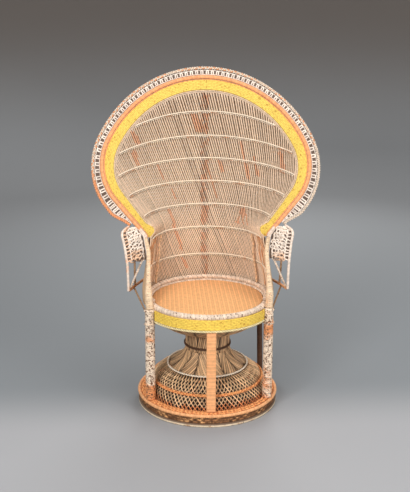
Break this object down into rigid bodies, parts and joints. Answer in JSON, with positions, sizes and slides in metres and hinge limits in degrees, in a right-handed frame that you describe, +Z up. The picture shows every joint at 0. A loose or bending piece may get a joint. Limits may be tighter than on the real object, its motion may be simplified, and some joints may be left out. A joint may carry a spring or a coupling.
{
  "type": "peacock chair",
  "caption": "Free-standing cane armchair with a round seat on an hourglass pedestal and a tall open-weave fan back with looped borders.",
  "frame": {"origin": "on the floor, under the middle of the chair's bounding box", "axes": "+X to the right of someone who faces the chair, +Y from its open front to its back, +Z up"},
  "size_m": [0.946, 0.6136, 1.3651],
  "materials": {
    "base_foot_hoop": "cane wrapped and painted off-white, worn",
    "base_band": "dark woven cane, worn paint",
    "base_top_hoop": "wrapped cane, oiled",
    "base_braid": "wrapped cane, oiled",
    "pedestal_outer_lattice": "cane with worn grey paint",
    "pedestal_inner_lattice": "cane with worn grey paint",
    "pedestal_lower_ring": "wrapped cane, oiled",
    "pedestal_upper_ring": "cane with worn grey paint",
    "pedestal_skirt": "cane with worn grey paint",
    "pedestal_neck": "cane with worn grey paint",
    "pedestal_waist_band": "dark woven cane, worn paint",
    "seat_bowl": "cane with worn grey paint",
    "front_leg_left": "cane wrapped and painted off-white, worn",
    "rear_leg_left": "cane with worn grey paint",
    "front_leg_right": "cane wrapped and painted off-white, worn",
    "rear_leg_right": "cane with worn grey paint",
    "centre_post": "wrapped cane, oiled",
    "seat_hoop": "cane wrapped and painted off-white, worn",
    "seat_panel": "close-woven natural cane",
    "seat_bar_across": "cane with worn grey paint",
    "seat_bar_along": "cane with worn grey paint",
    "seat_back_roll": "cane wrapped and painted off-white, worn",
    "apron_band": "painted woven cane, worn",
    "apron_rail": "painted woven cane, worn",
    "fan_inner_bead": "cane wrapped and painted off-white, worn",
    "fan_yellow_band": "painted woven cane, worn",
    "fan_outline_bead": "cane wrapped and painted off-white, worn",
    "fan_pole": "wrapped cane, oiled",
    "fan_loop_band": "cane wrapped and painted off-white, worn",
    "fan_outer_rim": "wrapped cane, oiled",
    "back_front_layer": "cane with worn grey paint",
    "back_rear_layer": "cane with worn grey paint",
    "back_hoop_1": "cane wrapped and painted off-white, worn",
    "back_hoop_2": "cane wrapped and painted off-white, worn",
    "back_hoop_3": "cane wrapped and painted off-white, worn",
    "back_hoop_4": "cane wrapped and painted off-white, worn",
    "back_hoop_5": "cane wrapped and painted off-white, worn",
    "back_hoop_6": "cane wrapped and painted off-white, worn",
    "back_hoop_7": "cane wrapped and painted off-white, worn",
    "side_stay_left": "cane wrapped and painted off-white, worn",
    "front_post_left": "cane wrapped and painted off-white, worn",
    "side_stay_right": "cane wrapped and painted off-white, worn",
    "front_post_right": "cane wrapped and painted off-white, worn",
    "arm_pole_left": "wrapped cane, oiled",
    "arm_panel_left": "cane wrapped and painted off-white, worn",
    "arm_lower_hoop_left": "wrapped cane, oiled",
    "arm_outer_strut_left": "cane with worn grey paint",
    "arm_inner_strut_left": "cane with worn grey paint",
    "arm_brace_left": "wrapped cane, oiled",
    "arm_pole_right": "wrapped cane, oiled",
    "arm_panel_right": "cane wrapped and painted off-white, worn",
    "arm_lower_hoop_right": "wrapped cane, oiled",
    "arm_outer_strut_right": "cane with worn grey paint",
    "arm_inner_strut_right": "cane with worn grey paint",
    "arm_brace_right": "wrapped cane, oiled"
  },
  "bodies": {
    "root": {"base_foot_hoop": "base_foot_hoop", "base_band": "base_band", "base_top_hoop": "base_top_hoop", "base_braid": "base_braid", "pedestal_outer_lattice": "pedestal_outer_lattice", "pedestal_inner_lattice": "pedestal_inner_lattice", "pedestal_lower_ring": "pedestal_lower_ring", "pedestal_upper_ring": "pedestal_upper_ring", "pedestal_skirt": "pedestal_skirt", "pedestal_neck": "pedestal_neck", "pedestal_waist_band": "pedestal_waist_band", "seat_bowl": "seat_bowl", "front_leg_left": "front_leg_left", "rear_leg_left": "rear_leg_left", "front_leg_right": "front_leg_right", "rear_leg_right": "rear_leg_right", "centre_post": "centre_post", "seat_hoop": "seat_hoop", "seat_panel": "seat_panel", "seat_bar_across": "seat_bar_across", "seat_bar_along": "seat_bar_along", "seat_back_roll": "seat_back_roll", "apron_band": "apron_band", "apron_rail": "apron_rail", "fan_inner_bead": "fan_inner_bead", "fan_yellow_band": "fan_yellow_band", "fan_outline_bead": "fan_outline_bead", "fan_pole": "fan_pole", "fan_loop_band": "fan_loop_band", "fan_outer_rim": "fan_outer_rim", "back_front_layer": "back_front_layer", "back_rear_layer": "back_rear_layer", "back_hoop_1": "back_hoop_1", "back_hoop_2": "back_hoop_2", "back_hoop_3": "back_hoop_3", "back_hoop_4": "back_hoop_4", "back_hoop_5": "back_hoop_5", "back_hoop_6": "back_hoop_6", "back_hoop_7": "back_hoop_7", "side_stay_left": "side_stay_left", "front_post_left": "front_post_left", "side_stay_right": "side_stay_right", "front_post_right": "front_post_right", "arm_pole_left": "arm_pole_left", "arm_panel_left": "arm_panel_left", "arm_lower_hoop_left": "arm_lower_hoop_left", "arm_outer_strut_left": "arm_outer_strut_left", "arm_inner_strut_left": "arm_inner_strut_left", "arm_brace_left": "arm_brace_left", "arm_pole_right": "arm_pole_right", "arm_panel_right": "arm_panel_right", "arm_lower_hoop_right": "arm_lower_hoop_right", "arm_outer_strut_right": "arm_outer_strut_right", "arm_inner_strut_right": "arm_inner_strut_right", "arm_brace_right": "arm_brace_right"}
  },
  "joints": []
}
